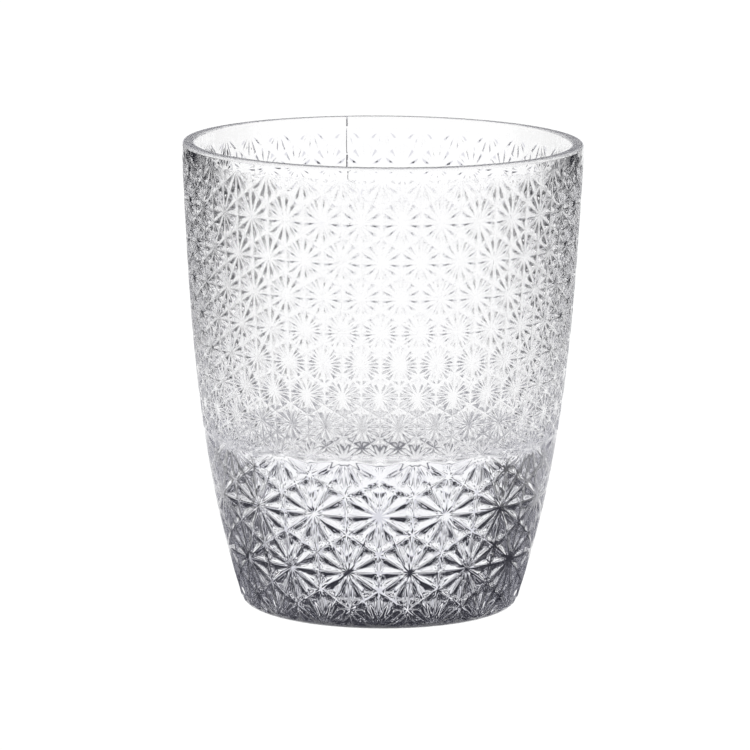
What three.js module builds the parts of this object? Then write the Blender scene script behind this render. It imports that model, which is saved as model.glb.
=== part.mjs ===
// Whiskey tumbler: one piece of clear pressed glass, standing on its foot.
//
// The outside wall swells from a narrow foot to a wide rim and carries a moulded relief of
// twelve-rayed stars: a net of raised ridges with a recess between every three of them.
// Large stars cover the thick solid base, small stars cover the thin wall above it, and a
// straight ridge round the glass parts the two. Lip, bore and foot are smooth.
//
// Millimetres, +Z up. The origin is on the axis, on the plane that the glass stands on.
// The front of the glass faces -Y.

import * as THREE from 'three';
import { mergeVertices } from 'three/addons/utils/BufferGeometryUtils.js';

// Outside
const height = 100;
const rimRadius = 42.8;         // widest point, just under the lip
const wallTopHeight = 97.4;     // where the outside wall reaches its full radius
const taperLinear = 4.8;        // the wall draws in by these amounts down to the foot,
const taperSquare = -0.97;      // in proportion to the depth below the top of the wall,
const taperCube = 9.63;         // its square and its cube
const footCornerRadius = 2.4;   // rounding between the wall and the underside
const footFlatRadius = 27.6;    // outer edge of the flat ring that touches the table
const recessRadius = 22.5;      // inner edge of that ring
const recessDepth = 0.7;        // the underside is dished inside the ring

// Inside
const lipThickness = 2.7;
const lipCornerRadius = 0.7;     // the lip is flat on top, with both corners rounded
const wallThicknessAtFloor = 4.3;
const floorHeight = 36;
const floorFilletRadius = 5;

// Relief
const smallStarsAround = 32;
const smallRows = 8;
const largeStarsAround = smallStarsAround / 2;
const largeRows = 3;
const largeRowPitch = 12.71;
const borderHeight = 38.5;      // the ridge between large and small stars
const smallRowPitch = 6.65;     // pitch of the lowest small rows
const smallRowGrowth = 2.6;     // the pitch has grown by this much at the top row
const smallEdgeDip = 0.12;      // how far a ridge between two small stars sags half-way
const smallCentreDip = 0.3;     // depth of the hollow between three small stars
const largePitDepth = 0.35;     // depth of each three-sided recess in a large star

// Fineness of the smooth surfaces
const columns = 2 * smallStarsAround;
const lipSteps = 3;
const filletSteps = 6;
const boreSteps = 5;
const recessSteps = 3;

// ---------------------------------------------------------------- outlines

function wallRadius(z) {
  const depth = Math.max(0, 1 - z / wallTopHeight);
  return rimRadius - taperLinear * depth - taperSquare * depth ** 2 - taperCube * depth ** 3;
}

// Radius of the outside at any height, with the rounded corner at the foot.
function outerRadius(z) {
  if (z >= footCornerRadius) return wallRadius(z);
  const drop = footCornerRadius - z;
  const inset = footCornerRadius - Math.sqrt(footCornerRadius ** 2 - drop ** 2);
  const lean = (wallRadius(footCornerRadius) - footFlatRadius - footCornerRadius) / footCornerRadius;
  return wallRadius(footCornerRadius) - inset - lean * drop;
}

function boreRadius(z) {
  const drop = (wallTopHeight - z) / (wallTopHeight - floorHeight);
  return wallRadius(z) - THREE.MathUtils.lerp(lipThickness, wallThicknessAtFloor, drop);
}

// Height of row k of small stars above the border; k may lie between two rows.
function smallRowHeight(k) {
  let z = borderHeight;
  for (let row = 0; row < k; row += 1) {
    const part = Math.min(1, k - row);
    z += part * (smallRowPitch + smallRowGrowth * (row / (smallRows - 1)) ** 3);
  }
  return z;
}

function largeRowHeight(k) {
  return borderHeight - k * largeRowPitch;
}

// ---------------------------------------------------------------- surface pieces

const corners = [];

// A point of the glass: turn is the share of a full turn about the axis, from +X towards +Y.
function glassPoint(turn, radius, z) {
  const whole = Math.round((turn - Math.floor(turn)) * 1e9) / 1e9;
  const angle = 2 * Math.PI * (whole % 1);
  return new THREE.Vector3(radius * Math.cos(angle), radius * Math.sin(angle), z);
}

function triangle(a, b, c) {
  corners.push(a, b, c);
}

// Joins two rings of the same number of points, from the first ring to the second.
function band(first, second) {
  const count = first.length;
  for (let i = 0; i < count; i += 1) {
    const next = (i + 1) % count;
    triangle(first[i], first[next], second[next]);
    triangle(first[i], second[next], second[i]);
  }
}

function ring(radius, z, count = columns) {
  return Array.from({ length: count }, (_, i) => glassPoint(i / count, radius, z));
}

// Closes a ring with a fan about a point on the axis; facing is +1 upwards, -1 downwards.
function fan(points, z, facing) {
  const centre = new THREE.Vector3(0, 0, z);
  points.forEach((point, i) => {
    const next = points[(i + 1) % points.length];
    if (facing > 0) triangle(point, next, centre);
    else triangle(next, point, centre);
  });
}

// ---------------------------------------------------------------- star relief

// One lattice spot of the relief, dipped below the outside surface.
function spot(turn, z, dip = 0) {
  return { turn, z, point: glassPoint(turn, outerRadius(z) - dip, z) };
}

// Centre of the circle that touches all three sides, on the unrolled wall.
function incentre(a, b, c) {
  const around = 2 * Math.PI * outerRadius((a.z + b.z + c.z) / 3);
  const span = (p, q) => Math.hypot(around * (p.turn - q.turn), p.z - q.z);
  const weights = [span(b, c), span(c, a), span(a, b)];
  const total = weights[0] + weights[1] + weights[2];
  const blend = (key) => (weights[0] * a[key] + weights[1] * b[key] + weights[2] * c[key]) / total;
  return { turn: blend('turn'), z: blend('z') };
}

// A three-sided recess between a star's hub, the middle of an edge and the middle of its triangle.
// split is an extra spot on the edge from hub to middle, where smaller facets meet it.
function recess(hub, middle, centre, upright, split = null) {
  const { turn, z } = incentre(hub, middle, centre);
  const bottom = spot(turn, z, largePitDepth);
  const outline = split ? [hub, split, middle, centre] : [hub, middle, centre];
  outline.forEach((from, i) => {
    const to = outline[(i + 1) % outline.length];
    if (upright) triangle(from.point, to.point, bottom.point);
    else triangle(to.point, from.point, bottom.point);
  });
}

// The six parts of one large triangle: hubs left, right and tip (above or below the base line).
function largeTriangle(leftTurn, baseRow, tipRow) {
  const step = 1 / largeStarsAround;
  const zBase = largeRowHeight(baseRow);
  const zTip = largeRowHeight(tipRow);
  const hubs = [
    spot(leftTurn, zBase),
    spot(leftTurn + step, zBase),
    spot(leftTurn + step / 2, zTip),
  ];
  const middleOf = (p, q) => spot((p.turn + q.turn) / 2, (p.z + q.z) / 2);
  const centre = spot(leftTurn + step / 2, (2 * zBase + zTip) / 3);
  const tipIsAbove = zTip > zBase;
  hubs.forEach((hub, i) => {
    const next = hubs[(i + 1) % hubs.length];
    const middle = middleOf(hub, next);
    const onBorder = i === 0 && baseRow === 0;
    recess(hub, middle, centre, tipIsAbove, onBorder ? middleOf(hub, middle) : null);
    recess(next, middle, centre, !tipIsAbove, onBorder ? middleOf(next, middle) : null);
  });
}

// The six flat facets of one small triangle, falling from its three hubs towards its centre.
function smallTriangle(leftTurn, baseRow, tipRow) {
  const step = 1 / smallStarsAround;
  const zBase = smallRowHeight(baseRow);
  const zTip = smallRowHeight(tipRow);
  const hubs = [
    spot(leftTurn, zBase),
    spot(leftTurn + step, zBase),
    spot(leftTurn + step / 2, zTip),
  ];
  const centre = spot(leftTurn + step / 2, (2 * zBase + zTip) / 3, smallCentreDip);
  const tipIsAbove = zTip > zBase;
  const baseIsEdge = baseRow === 0 || baseRow === smallRows;
  hubs.forEach((hub, i) => {
    const next = hubs[(i + 1) % hubs.length];
    const dip = i === 0 && baseIsEdge ? 0 : smallEdgeDip;
    const middle = spot((hub.turn + next.turn) / 2, (hub.z + next.z) / 2, dip);
    const outline = [hub, middle, next];
    for (let side = 0; side < 2; side += 1) {
      const from = outline[side].point;
      const to = outline[side + 1].point;
      if (tipIsAbove) triangle(from, to, centre.point);
      else triangle(to, from, centre.point);
    }
  });
}

// Lays rows of triangles, alternately pointing up and down, all round the glass.
function layRows(rows, starsAround, makeTriangle, firstShift) {
  for (let row = 0; row < rows; row += 1) {
    const shift = ((row + firstShift) % 2) / 2;
    for (let i = 0; i < starsAround; i += 1) {
      makeTriangle((i + shift) / starsAround, row, row + 1);
      makeTriangle((i + shift + 0.5) / starsAround, row + 1, row);
    }
  }
}

// ---------------------------------------------------------------- smooth surfaces

function addLip() {
  const start = smallRowHeight(smallRows);
  const centres = [rimRadius - lipCornerRadius, rimRadius - lipThickness + lipCornerRadius];
  let previous = ring(outerRadius(start), start);
  centres.forEach((centre, corner) => {
    for (let step = 0; step <= lipSteps; step += 1) {
      const angle = (Math.PI / 2) * (corner + step / lipSteps);
      const z = height - lipCornerRadius * (1 - Math.sin(angle));
      const next = ring(centre + lipCornerRadius * Math.cos(angle), z);
      band(previous, next);
      previous = next;
    }
  });
  return previous;
}

function addBore(lipRing) {
  const probe = floorHeight + floorFilletRadius;
  const slope = Math.atan((boreRadius(probe + 1) - boreRadius(probe - 1)) / 2);
  const filletTop = floorHeight + floorFilletRadius * (1 - Math.sin(slope));
  const filletCentre = boreRadius(filletTop) - floorFilletRadius * Math.cos(slope);
  const startHeight = height - lipCornerRadius;
  let previous = lipRing;
  for (let step = 1; step <= boreSteps; step += 1) {
    const z = THREE.MathUtils.lerp(startHeight, filletTop, step / boreSteps);
    const next = ring(boreRadius(z), z);
    band(previous, next);
    previous = next;
  }
  for (let step = 1; step <= filletSteps; step += 1) {
    const angle = THREE.MathUtils.lerp(-slope, -Math.PI / 2, step / filletSteps);
    const radius = filletCentre + floorFilletRadius * Math.cos(angle);
    const next = ring(radius, floorHeight + floorFilletRadius * (1 + Math.sin(angle)));
    band(previous, next);
    previous = next;
  }
  fan(previous, floorHeight, 1);
}

function addFoot() {
  const count = smallStarsAround;
  const lowest = largeRowHeight(largeRows);
  let previous = ring(outerRadius(lowest), lowest, count);
  const flat = ring(footFlatRadius, 0, count);
  band(flat, previous);
  previous = flat;
  for (let step = 0; step < recessSteps; step += 1) {
    const share = step / recessSteps;
    const next = ring(recessRadius * (1 - share), recessDepth * (1 - (1 - share) ** 2), count);
    band(next, previous);
    previous = next;
  }
  fan(previous, recessDepth, -1);
}

// ---------------------------------------------------------------- the glass

function makeGlassGeometry() {
  layRows(smallRows, smallStarsAround, smallTriangle, 0);
  layRows(largeRows, largeStarsAround, largeTriangle, 1);
  addBore(addLip());
  addFoot();
  const geometry = new THREE.BufferGeometry().setFromPoints(corners);
  const merged = mergeVertices(geometry, 1e-4);
  merged.computeVertexNormals();
  return merged;
}

const glassMaterial = new THREE.MeshStandardMaterial({
  color: 0xe4e5ee,
  roughness: 0.04,
  metalness: 0,
  transparent: true,
  opacity: 0.35,
});

const tumbler = new THREE.Mesh(makeGlassGeometry(), glassMaterial);
tumbler.name = 'glass_tumbler';

const group = new THREE.Group();
group.add(tumbler);

export default group;
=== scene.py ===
"""Whiskey tumbler of clear pressed glass: the finished mesh, its material, and a plain bright studio."""
import math

import bpy
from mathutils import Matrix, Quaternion, Vector


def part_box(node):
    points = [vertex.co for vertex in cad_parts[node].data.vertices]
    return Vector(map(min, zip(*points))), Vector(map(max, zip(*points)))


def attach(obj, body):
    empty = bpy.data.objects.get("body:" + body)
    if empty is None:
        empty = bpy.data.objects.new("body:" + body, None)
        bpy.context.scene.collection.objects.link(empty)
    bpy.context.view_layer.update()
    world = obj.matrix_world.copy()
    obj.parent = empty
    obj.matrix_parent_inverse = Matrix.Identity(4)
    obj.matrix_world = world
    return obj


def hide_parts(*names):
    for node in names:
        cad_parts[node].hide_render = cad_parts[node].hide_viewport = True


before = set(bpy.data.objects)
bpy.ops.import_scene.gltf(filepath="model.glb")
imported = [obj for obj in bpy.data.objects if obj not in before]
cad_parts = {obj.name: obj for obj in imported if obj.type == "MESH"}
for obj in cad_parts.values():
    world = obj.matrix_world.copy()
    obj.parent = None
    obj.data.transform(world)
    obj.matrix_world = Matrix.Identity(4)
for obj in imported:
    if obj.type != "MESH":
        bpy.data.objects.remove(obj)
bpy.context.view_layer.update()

GLASS_NODE = "glass_tumbler"

# ------------------------------------------------------------------ sizes
# Lengths of the glass are in hundredths of its height.

LOW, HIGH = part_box(GLASS_NODE)
UNIT = (HIGH.z - LOW.z) / 100
TOP = 100.0
RIM_RADIUS = (HIGH.x - LOW.x) / 2 / UNIT
WALL_TOP = 97.4
TAPER = (4.8, -0.97, 9.63)      # how the wall draws in with depth, depth squared and depth cubed
FOOT_CORNER = 2.4
FOOT_FLAT_RADIUS = 27.6
RECESS_RADIUS = 22.5
RECESS_DEPTH = 0.7

LIP_THICKNESS = 2.7
LIP_CORNER = 0.7
FLOOR_WALL_THICKNESS = 4.3
FLOOR_HEIGHT = 36.0
FLOOR_FILLET = 5.0

SMALL_STARS = 32
SMALL_ROWS = 8
LARGE_STARS = SMALL_STARS // 2
LARGE_ROWS = 3
LARGE_ROW_PITCH = 12.71
BORDER = 38.5
SMALL_ROW_PITCH = 6.65
SMALL_ROW_GROWTH = 2.6

# Every recess is a smooth hollow between rounded ridges: its steepest slope, the share of the way
# in over which the ridge turns down, and how late the slope eases towards the bottom.
SMALL_HOLLOW = (math.tan(math.radians(30)), 0.4, 3.0)
LARGE_HOLLOW = (math.tan(math.radians(21)), 0.5, 3.0)
SMALL_RINGS = (0.0, 0.2, 0.4, 0.68, 1.0)
LARGE_RINGS = (0.0, 0.15, 0.3, 0.5, 0.75, 1.0)
SMALL_SPLITS = 1
LARGE_SPLITS = 2
VALLEY_SHARPNESS = 8.0          # higher values crease the hollow where two of its sides meet
FADE_HEIGHT = 4.0               # the recesses grow shallow over this height under the lip

SEAM_ANGLE = 11.25              # the mould seam, in degrees to the left of the back seen from the front
SEAM_TURN = 0.25 + SEAM_ANGLE / 360
SEAM_RELIEF = 0.25              # how far the seam stands out of the relief
SAME_SPOT = 1e-6
SLOPE_STEP = 0.05               # the slope of the outside is measured over this much to each side

COLUMNS = 4 * SMALL_STARS
BORE_STEPS = 16
FILLET_STEPS = 14
FLOOR_STEPS = 6
LIP_STEPS = 8
FOOT_STEPS = 6
RECESS_STEPS = 8


# ------------------------------------------------------------------ outlines

def mix(a, b, share):
    return a + (b - a) * share


def wall_radius(z):
    depth = max(0.0, 1 - z / WALL_TOP)
    return RIM_RADIUS - sum(amount * depth ** (i + 1) for i, amount in enumerate(TAPER))


def outer_radius(z):
    """Radius of the outside, with the rounded corner at the foot."""
    if z >= FOOT_CORNER:
        return wall_radius(z)
    drop = FOOT_CORNER - z
    inset = FOOT_CORNER - math.sqrt(FOOT_CORNER ** 2 - drop ** 2)
    start = wall_radius(FOOT_CORNER)
    lean = (start - FOOT_FLAT_RADIUS - FOOT_CORNER) / FOOT_CORNER
    return start - inset - lean * drop


def bore_radius(z):
    drop = (WALL_TOP - z) / (WALL_TOP - FLOOR_HEIGHT)
    return wall_radius(z) - mix(LIP_THICKNESS, FLOOR_WALL_THICKNESS, drop)


def small_row_height(row):
    """Height of a row of small stars; row may lie between two rows."""
    z = BORDER
    for k in range(math.ceil(row)):
        part = min(1.0, row - k)
        z += part * (SMALL_ROW_PITCH + SMALL_ROW_GROWTH * (k / (SMALL_ROWS - 1)) ** 3)
    return z


def large_row_height(row):
    return BORDER - row * LARGE_ROW_PITCH


# ------------------------------------------------------------------ mesh under construction

class GlassMesh:
    """Collects faces with a normal for each of their corners."""

    def __init__(self):
        self.index = {}
        self.points = []
        self.faces = []
        self.normals = []

    def point(self, position):
        key = tuple(round(value * 1e4) for value in position)
        if key not in self.index:
            self.index[key] = len(self.points)
            self.points.append(position * UNIT)
        return self.index[key]

    def face(self, corners):
        """corners: (position, normal) pairs, counter-clockwise seen from outside the glass."""
        indices = [self.point(position) for position, _ in corners]
        kept = [i for i in range(len(indices)) if indices[i] != indices[i - 1]]
        if len(kept) < 3:
            return
        self.faces.append([indices[i] for i in kept])
        self.normals.extend(corners[i][1] for i in kept)

    def to_object(self, name):
        mesh = bpy.data.meshes.new(name)
        mesh.from_pydata(self.points, [], self.faces)
        mesh.polygons.foreach_set("use_smooth", [True] * len(mesh.polygons))
        mesh.normals_split_custom_set(self.normals)
        mesh.update()
        obj = bpy.data.objects.new(name, mesh)
        bpy.context.scene.collection.objects.link(obj)
        return obj


def around(turn, radius, z):
    """A point at a share of a full turn about the axis, from +X towards +Y."""
    angle = 2 * math.pi * (round(turn % 1.0, 9) % 1.0)
    return Vector((radius * math.cos(angle), radius * math.sin(angle), z))


def on_wall(turn, z, depth=0.0):
    """A spot on the outside, raised where the mould seam runs up through the relief."""
    in_relief = large_row_height(LARGE_ROWS) + SAME_SPOT < z < small_row_height(SMALL_ROWS) - SAME_SPOT
    if in_relief and on_seam(turn):
        depth -= SEAM_RELIEF
    return around(turn, outer_radius(z) - depth, z)


def on_seam(turn):
    return abs(turn % 1.0 - SEAM_TURN) < SAME_SPOT


def wall_normal(turn, z):
    low, high = max(z - SLOPE_STEP, 0.0), z + SLOPE_STEP
    slope = (outer_radius(high) - outer_radius(low)) / (high - low)
    return (around(turn, 1.0, 0.0) - Vector((0, 0, slope))).normalized()


# ------------------------------------------------------------------ star relief

def hollow_form(way, hollow):
    """Depth and steepness at a share of the way from ridge to bottom, for a recess one unit wide."""
    slope, ridge, ease = hollow
    if way < ridge:
        return slope * way ** 2 / (2 * ridge), slope * way / ridge
    rest = 1 - ridge
    part = (way - ridge) / rest
    depth = ridge / 2 + rest * (part - part ** (ease + 1) / (ease + 1))
    return slope * depth, slope * (1 - part ** ease)


def recess(glass, outline, hollow, rings):
    """One three-sided recess. outline: its corners (turn, z), counter-clockwise, each with the number
    of pieces that the side after it is cut in."""
    corners = [spot for spot, _ in outline]
    girth = 2 * math.pi * outer_radius(sum(z for _, z in corners) / 3)
    flat = [(girth * turn, z) for turn, z in corners]
    ends = [(flat[i], flat[(i + 1) % 3]) for i in range(3)]
    spans = [math.dist(a, b) for a, b in ends]
    half = sum(spans) / 2
    inner_radius = math.sqrt((half - spans[0]) * (half - spans[1]) * (half - spans[2]) / half)
    deepest = tuple(sum(spans[i] * corners[i - 1][k] for i in range(3)) / (2 * half) for k in (0, 1))
    upright = wall_normal(*deepest)
    walls = [on_wall(*corner) for corner in corners]
    inward = [upright.cross(walls[(i + 1) % 3] - walls[i]).normalized() for i in range(3)]
    fade = min(1.0, (small_row_height(SMALL_ROWS) - deepest[1]) / FADE_HEIGHT)
    full_way = 1 - math.log(3) / VALLEY_SHARPNESS

    def surface(turn, z):
        """Position and normal of the hollow at a spot, rounded where its three sides meet."""
        weights = []
        for ((x0, z0), (x1, z1)), span in zip(ends, spans):
            gap = ((x1 - x0) * (z - z0) - (z1 - z0) * (girth * turn - x0)) / span
            weights.append(math.exp(-VALLEY_SHARPNESS * gap / inner_radius))
        total = sum(weights)
        way = min(1.0, max(0.0, -math.log(total) / VALLEY_SHARPNESS / full_way))
        depth, steepness = hollow_form(way, hollow)
        normal = wall_normal(turn, z)
        for weight, direction in zip(weights, inward):
            normal = normal + direction * (fade * steepness * weight / total / full_way)
        return on_wall(turn, z, fade * depth * inner_radius), normal.normalized()

    edge = [tuple(mix(a, b, k / splits) for a, b in zip(corners[i], corners[(i + 1) % 3]))
            for i, (_, splits) in enumerate(outline) for k in range(splits)]
    mesh_rings = [[surface(*(mix(a, b, share) for a, b in zip(spot, deepest))) for spot in edge]
                  for share in rings[:-1]]
    mesh_rings.append([surface(*deepest)] * len(edge))
    for outer, inner in zip(mesh_rings, mesh_rings[1:]):
        for i in range(len(edge)):
            j = (i + 1) % len(edge)
            face = [outer[i], outer[j], inner[j], inner[i]]
            if outer is mesh_rings[0] and on_seam(edge[i][0]) and on_seam(edge[j][0]):
                places = [place for place, _ in face]
                flank = (places[1] - places[0]).cross(places[2] - places[0]).normalized()
                face = [(place, flank) for place in places]
            glass.face(face)


def star_triangle(glass, left, stars, base_z, tip_z, hollow, rings, splits):
    """The six recesses between three stars."""
    step = 1 / stars
    hubs = [(left, base_z), (left + step, base_z), (left + step / 2, tip_z)]
    centre = (left + step / 2, (2 * base_z + tip_z) / 3)
    tip_is_above = tip_z > base_z
    for i in range(3):
        hub, following = hubs[i], hubs[(i + 1) % 3]
        middle = tuple((a + b) / 2 for a, b in zip(hub, following))
        for end in (hub, following):
            if (end is hub) == tip_is_above:
                outline = [(end, 2 * splits), (middle, splits), (centre, 2 * splits)]
            else:
                outline = [(centre, splits), (middle, 2 * splits), (end, 2 * splits)]
            recess(glass, outline, hollow, rings)


def add_relief(glass):
    small = (SMALL_HOLLOW, SMALL_RINGS, SMALL_SPLITS)
    large = (LARGE_HOLLOW, LARGE_RINGS, LARGE_SPLITS)
    for row in range(SMALL_ROWS):
        low, high = small_row_height(row), small_row_height(row + 1)
        for i in range(SMALL_STARS):
            left = (i + (row % 2) / 2) / SMALL_STARS
            star_triangle(glass, left, SMALL_STARS, low, high, *small)
            star_triangle(glass, left + 0.5 / SMALL_STARS, SMALL_STARS, high, low, *small)
    for row in range(LARGE_ROWS):
        high, low = large_row_height(row), large_row_height(row + 1)
        for i in range(LARGE_STARS):
            left = (i + ((row + 1) % 2) / 2) / LARGE_STARS
            star_triangle(glass, left, LARGE_STARS, high, low, *large)
            star_triangle(glass, left + 0.5 / LARGE_STARS, LARGE_STARS, low, high, *large)


# ------------------------------------------------------------------ smooth surfaces

def add_lathe(glass, profile):
    """Turns a profile of (radius, z, outward normal in that plane) about the axis. The glass lies on
    the left of the profile's direction of travel, seen with +Z up and the radius to the right."""
    for (r0, z0, n0), (r1, z1, n1) in zip(profile, profile[1:]):
        for i in range(COLUMNS):
            corners = []
            for column, radius, z, normal in ((i, r0, z0, n0), (i + 1, r0, z0, n0),
                                              (i + 1, r1, z1, n1), (i, r1, z1, n1)):
                turn = column / COLUMNS
                outward = around(turn, normal[0], normal[1])
                corners.append((around(turn, radius, z), outward))
            glass.face(corners)


def lip_profile():
    """From the top row of stars, over the flat lip with its two rounded corners, into the bore."""
    start = small_row_height(SMALL_ROWS)
    profile = [(outer_radius(start), start, (1.0, 0.0))]
    outer, inner = RIM_RADIUS - LIP_CORNER, RIM_RADIUS - LIP_THICKNESS + LIP_CORNER
    for centre, first in ((outer, 0.0), (inner, math.pi / 2)):
        for k in range(LIP_STEPS + 1):
            angle = first + math.pi / 2 * k / LIP_STEPS
            normal = (math.cos(angle), math.sin(angle))
            profile.append((centre + LIP_CORNER * normal[0], TOP + LIP_CORNER * (normal[1] - 1), normal))
    return profile


def bore_profile():
    probe = FLOOR_HEIGHT + FLOOR_FILLET
    slope = math.atan((bore_radius(probe + 1) - bore_radius(probe - 1)) / 2)
    fillet_top = FLOOR_HEIGHT + FLOOR_FILLET * (1 - math.sin(slope))
    fillet_centre = bore_radius(fillet_top) - FLOOR_FILLET * math.cos(slope)
    start = TOP - LIP_CORNER
    profile = []
    for k in range(BORE_STEPS + 1):
        z = mix(start, fillet_top, k / BORE_STEPS)
        lean = math.atan((bore_radius(z + 0.5) - bore_radius(z - 0.5)))
        profile.append((bore_radius(z), z, (-math.cos(lean), math.sin(lean))))
    for k in range(1, FILLET_STEPS + 1):
        angle = mix(-slope, -math.pi / 2, k / FILLET_STEPS)
        direction = (math.cos(angle), math.sin(angle))
        profile.append((fillet_centre + FLOOR_FILLET * direction[0],
                        FLOOR_HEIGHT + FLOOR_FILLET * (1 + direction[1]),
                        (-direction[0], -direction[1])))
    for k in range(1, FLOOR_STEPS + 1):
        profile.append((fillet_centre * (1 - k / FLOOR_STEPS), FLOOR_HEIGHT, (0.0, 1.0)))
    return profile


def foot_profile():
    """From the axis under the glass out to the lowest row of stars."""
    profile = []
    for k in range(RECESS_STEPS + 1):
        share = k / RECESS_STEPS
        slope = 2 * RECESS_DEPTH * share / RECESS_RADIUS
        profile.append((RECESS_RADIUS * share, RECESS_DEPTH * (1 - share ** 2),
                        tuple(Vector((-slope, -1)).normalized())))
    profile.append((RECESS_RADIUS, 0.0, (0.0, -1.0)))
    profile.append((FOOT_FLAT_RADIUS, 0.0, (0.0, -1.0)))
    end = large_row_height(LARGE_ROWS)
    for k in range(1, FOOT_STEPS + 1):
        z = end * (k / FOOT_STEPS) ** 2
        normal = wall_normal(0.0, z)
        profile.append((outer_radius(z), z, (normal.x, normal.z)))
    return profile


def make_tumbler():
    glass = GlassMesh()
    add_relief(glass)
    add_lathe(glass, lip_profile() + bore_profile())
    add_lathe(glass, foot_profile())
    return glass.to_object("pressed_glass_body")


# ------------------------------------------------------------------ materials

def node_material(name):
    material = bpy.data.materials.new(name)
    material.use_nodes = True
    material.node_tree.nodes.clear()
    return material, material.node_tree.nodes, material.node_tree.links


GLASS_IOR = 1.5
GLASS_TINT = (0.80, 0.80, 0.88, 1)
GLASS_DENSITY = 4.0

# These are in metres, as the material sees the glass.
SEAM_HALF_WIDTH = 0.00022
SEAM_HEIGHT = 0.00030
RIPPLE_SCALE = 90.0             # waves to the metre
RIPPLE_HEIGHT = 0.00002


def math_node(nodes, links, operation, first, second):
    node = nodes.new("ShaderNodeMath")
    node.operation = operation
    for socket, value in zip(node.inputs, (first, second)):
        if isinstance(value, (int, float)):
            socket.default_value = value
        else:
            links.new(value, socket)
    return node.outputs["Value"]


def dot_node(nodes, links, first, second):
    node = nodes.new("ShaderNodeVectorMath")
    node.operation = "DOT_PRODUCT"
    links.new(first, node.inputs[0])
    if isinstance(second, tuple):
        node.inputs[1].default_value = second
    else:
        links.new(second, node.inputs[1])
    return node.outputs["Value"]


def make_glass_material():
    """Clear pressed glass: a faint ripple all over, and the top of the mould seam above the relief."""
    material, nodes, links = node_material("clear_pressed_glass")
    output = nodes.new("ShaderNodeOutputMaterial")
    glass = nodes.new("ShaderNodeBsdfPrincipled")
    glass.inputs["Base Color"].default_value = (1, 1, 1, 1)
    glass.inputs["Transmission Weight"].default_value = 1.0
    glass.inputs["Roughness"].default_value = 0.0
    glass.inputs["IOR"].default_value = GLASS_IOR
    body = nodes.new("ShaderNodeVolumeAbsorption")
    body.inputs["Color"].default_value = GLASS_TINT
    body.inputs["Density"].default_value = GLASS_DENSITY
    place = nodes.new("ShaderNodeTexCoord")
    turn = math.radians(SEAM_ANGLE)
    off_plane = dot_node(nodes, links, place.outputs["Object"], (math.cos(turn), math.sin(turn), 0))
    nearness = nodes.new("ShaderNodeMapRange")
    nearness.interpolation_type = "SMOOTHSTEP"
    nearness.inputs["From Min"].default_value = 0.0
    nearness.inputs["From Max"].default_value = SEAM_HALF_WIDTH
    nearness.inputs["To Min"].default_value = SEAM_HEIGHT
    nearness.inputs["To Max"].default_value = 0.0
    links.new(math_node(nodes, links, "ABSOLUTE", off_plane, 0.0), nearness.inputs["Value"])
    beyond = dot_node(nodes, links, place.outputs["Object"], (-math.sin(turn), math.cos(turn), 0))
    is_outside = math_node(nodes, links, "GREATER_THAN", beyond, (RIM_RADIUS - LIP_THICKNESS / 2) * UNIT)
    rise = dot_node(nodes, links, place.outputs["Object"], (0, 0, 1))
    over_relief = math_node(nodes, links, "GREATER_THAN", rise, small_row_height(SMALL_ROWS) * UNIT)
    is_smooth_wall = math_node(nodes, links, "MULTIPLY", is_outside, over_relief)
    seam = math_node(nodes, links, "MULTIPLY", nearness.outputs["Result"], is_smooth_wall)
    ripple = nodes.new("ShaderNodeTexNoise")
    ripple.inputs["Scale"].default_value = RIPPLE_SCALE
    ripple.inputs["Detail"].default_value = 1.0
    links.new(place.outputs["Object"], ripple.inputs["Vector"])
    waves = math_node(nodes, links, "MULTIPLY", ripple.outputs["Fac"], RIPPLE_HEIGHT)
    bump = nodes.new("ShaderNodeBump")
    bump.inputs["Strength"].default_value = 1.0
    bump.inputs["Distance"].default_value = 1.0
    links.new(math_node(nodes, links, "ADD", seam, waves), bump.inputs["Height"])
    links.new(bump.outputs["Normal"], glass.inputs["Normal"])
    links.new(glass.outputs["BSDF"], output.inputs["Surface"])
    links.new(body.outputs["Volume"], output.inputs["Volume"])
    return material


DARK_BLUE_SHARE = 1.3           # a black card is this much bluer than a white one


def make_glow_material(name, brightness):
    material, nodes, links = node_material(name)
    output = nodes.new("ShaderNodeOutputMaterial")
    glow = nodes.new("ShaderNodeEmission")
    cool = mix(DARK_BLUE_SHARE, 1.0, min(1.0, brightness))
    glow.inputs["Color"].default_value = (brightness, brightness, brightness * cool, 1)
    links.new(glow.outputs["Emission"], output.inputs["Surface"])
    return material


# ------------------------------------------------------------------ studio

FLOOR_SIZE = 12.0
DAYLIGHT = 1.04

# Curved cards that only the glass sees: distance in metres, azimuths and elevations in degrees, and
# brightness. Azimuth 0 is behind the glass seen from its front, and 90 is to the right.
CARDS = (
    ("back_strip", 4.0, (-80, 80), (0, 5), 0.8),
    ("front_strip", 4.0, (80, 280), (0, 12), 0.75),
    ("upper_back", 4.0, (-80, 80), (5, 50), 0.03),
    ("upper_front", 4.0, (80, 280), (12, 50), 0.2),
    ("ceiling", 4.0, (-180, 180), (50, 88), 0.1),
    ("left_flag", 0.28, (-85, -24), (0, 40), 0.02),
    ("right_flag", 0.28, (28, 85), (0, 40), 0.02),
)
# Painted shadow of the glass on the glowing floor: a dark ring in front of the foot that only the glass
# sees.
SHADOW_RING_RADII = (0.030, 0.080)
SHADOW_RING_AZIMUTHS = (60, 300)
SHADOW_RING_HEIGHT = 0.0002
SHADOW_RING_BRIGHTNESS = 0.05
STRIP_STEPS = 24


def add_floor():
    bpy.ops.mesh.primitive_circle_add(vertices=96, radius=FLOOR_SIZE / 2, fill_type="NGON")
    floor = bpy.context.object
    floor.name = "light_table"
    floor.data.materials.append(make_glow_material("light_table_white", DAYLIGHT))


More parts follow.
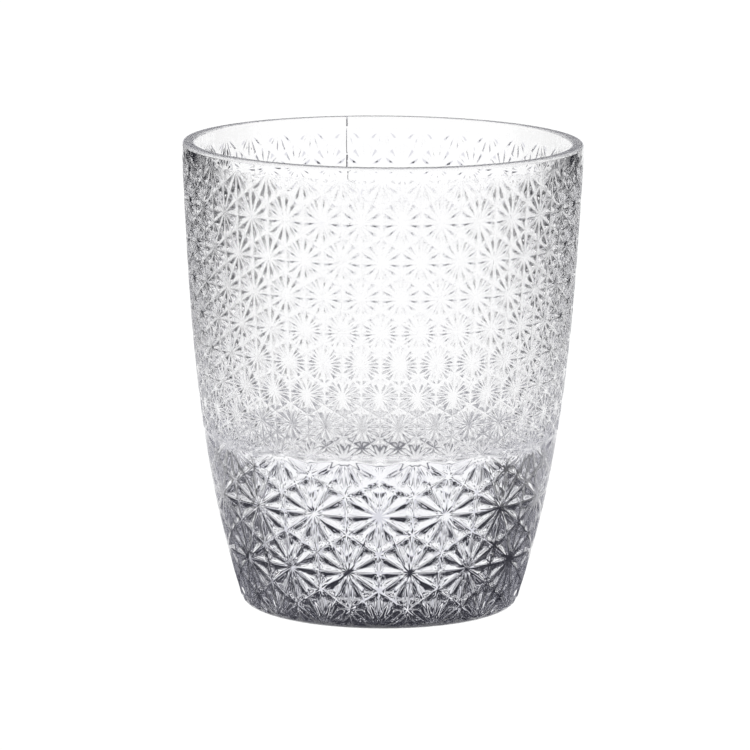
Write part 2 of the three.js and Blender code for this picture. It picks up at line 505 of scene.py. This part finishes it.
def add_curved_strip(name, edges, azimuths, brightness):
    """A glowing strip that only the glass sees, between two curved edges of (radius, z)."""
    points, faces = [], []
    for radius, z in edges:
        for k in range(STRIP_STEPS + 1):
            azimuth = math.radians(mix(azimuths[0], azimuths[1], k / STRIP_STEPS))
            points.append((radius * math.sin(azimuth), radius * math.cos(azimuth), z))
    for k in range(STRIP_STEPS):
        faces.append((k, k + 1, k + STRIP_STEPS + 2, k + STRIP_STEPS + 1))
    mesh = bpy.data.meshes.new(name)
    mesh.from_pydata(points, [], faces)
    strip = bpy.data.objects.new(name, mesh)
    bpy.context.scene.collection.objects.link(strip)
    strip.data.materials.append(make_glow_material(name + "_tone", brightness))
    strip.visible_camera = False
    strip.visible_shadow = False


def add_card(name, distance, azimuths, elevations, brightness):
    edges = [(distance, distance * math.tan(math.radians(elevation))) for elevation in elevations]
    add_curved_strip(name, edges, azimuths, brightness)


def add_painted_shadow_ring():
    """A dark part of a ring lying on the floor in front of the foot: painted shadow, standing in for the
    glass's own shadow there.
    """
    edges = [(radius, SHADOW_RING_HEIGHT) for radius in SHADOW_RING_RADII]
    add_curved_strip("painted_glass_shadow", edges, SHADOW_RING_AZIMUTHS, SHADOW_RING_BRIGHTNESS)


def add_studio():
    world = bpy.data.worlds.new("soft_white")
    bpy.context.scene.world = world
    world.use_nodes = True
    world.node_tree.nodes["Background"].inputs["Color"].default_value = (1, 1, 1, 1)
    world.node_tree.nodes["Background"].inputs["Strength"].default_value = DAYLIGHT
    add_floor()
    for card in CARDS:
        add_card(*card)
    # the painted shadow of the glass on the floor
    add_painted_shadow_ring()


# ------------------------------------------------------------------ camera
# Metres, degrees and, for the lens, millimetres.

CAMERA_DISTANCE = 1.0952
CAMERA_HEIGHT = 0.2470
CAMERA_PITCH = 10.23
CAMERA_ROLL = 0.4345
CAMERA_TURN = 0.24
CAMERA_LENS = 248.9
CAMERA_YAW = 0.07


def add_camera():
    data = bpy.data.cameras.new("camera")
    data.lens = CAMERA_LENS
    data.sensor_width = 36.0
    data.clip_start = 0.01
    data.clip_end = 100.0
    camera = bpy.data.objects.new("camera", data)
    bpy.context.scene.collection.objects.link(camera)
    turn = math.radians(CAMERA_TURN)
    camera.location = (CAMERA_DISTANCE * math.sin(turn), -CAMERA_DISTANCE * math.cos(turn), CAMERA_HEIGHT)
    aim = turn + math.radians(CAMERA_YAW)
    pitch = math.radians(CAMERA_PITCH)
    direction = Vector((-math.sin(aim) * math.cos(pitch), math.cos(aim) * math.cos(pitch), -math.sin(pitch)))
    camera.rotation_mode = "QUATERNION"
    facing = direction.to_track_quat("-Z", "Y")
    roll = Quaternion((0, 0, 1), math.radians(CAMERA_ROLL))
    camera.rotation_quaternion = facing @ roll
    bpy.context.scene.camera = camera


def set_light_paths():
    scene = bpy.context.scene
    scene.view_settings.view_transform = "Standard"
    scene.cycles.max_bounces = 32
    scene.cycles.transmission_bounces = 32
    scene.cycles.glossy_bounces = 16
    scene.cycles.transparent_max_bounces = 16


# ------------------------------------------------------------------ scene

tumbler = make_tumbler()
tumbler.data.materials.append(make_glass_material())
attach(tumbler, "root")
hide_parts(GLASS_NODE)

add_studio()
add_camera()
set_light_paths()
